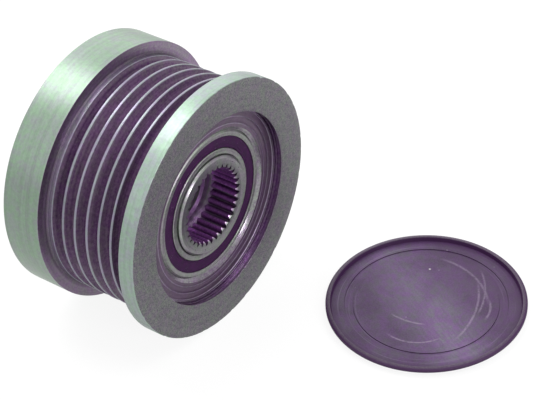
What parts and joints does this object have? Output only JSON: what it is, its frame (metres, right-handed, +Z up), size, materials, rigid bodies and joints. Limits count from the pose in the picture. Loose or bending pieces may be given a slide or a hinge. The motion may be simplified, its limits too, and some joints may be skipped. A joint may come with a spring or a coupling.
{
  "type": "overrunning alternator pulley",
  "caption": "Six-groove poly-V alternator pulley with sealed ball bearings, a one-way roller clutch, a splined hub and its dust cap taken off.",
  "frame": {"origin": "on the axis at the hub's rear seat, where the alternator shaft enters", "axes": "+Y along the pulley's axis from the front face towards the alternator, +Z up; the dust cap lies flat on the plane below that both rims touch"},
  "size_m": [0.0841, 0.1036, 0.065],
  "materials": {
    "turned_steel": "satin, fine turned lines",
    "ground_steel": "ground, satin",
    "bearing_steel": "ground and polished",
    "spring_steel": "rolled strip",
    "cage_nylon": "moulded",
    "seal_rubber": "matte",
    "cap_plastic": "moulded, satin, lightly scuffed"
  },
  "bodies": {
    "hub": {"hub": "ground_steel", "front_inner_ring": "bearing_steel", "rear_inner_ring": "bearing_steel", "clutch_ramp_ring": "bearing_steel", "clutch_cage": "cage_nylon", "clutch_rollers": "bearing_steel", "clutch_springs": "spring_steel", "dust_cap": "cap_plastic"},
    "pulley": {"grooved_ring": "turned_steel", "front_outer_ring": "bearing_steel", "rear_outer_ring": "bearing_steel", "clutch_sleeve": "bearing_steel", "front_bearing_front_seal": "seal_rubber", "front_bearing_rear_seal": "seal_rubber", "rear_bearing_front_seal": "seal_rubber", "rear_bearing_rear_seal": "seal_rubber"},
    "front_cage": {"front_ball_cage": "cage_nylon", "front_balls": "bearing_steel"},
    "rear_cage": {"rear_ball_cage": "cage_nylon", "rear_balls": "bearing_steel"}
  },
  "joints": [
    {"name": "pulley_spin", "type": "hinge", "parent": "hub", "child": "pulley", "pos_m": [0, -0.02, 0], "axis": [0, 1, 0], "continuous": true},
    {"name": "front_cage_spin", "type": "hinge", "parent": "hub", "child": "front_cage", "pos_m": [0, -0.03325, 0], "axis": [0, 1, 0], "continuous": true},
    {"name": "rear_cage_spin", "type": "hinge", "parent": "hub", "child": "rear_cage", "pos_m": [0, -0.0069, 0], "axis": [0, 1, 0], "continuous": true}
  ],
  "couplings": [
    {"joint": "front_cage_spin", "follows": "pulley_spin", "ratio": 0.5565},
    {"joint": "rear_cage_spin", "follows": "pulley_spin", "ratio": 0.5565}
  ]
}
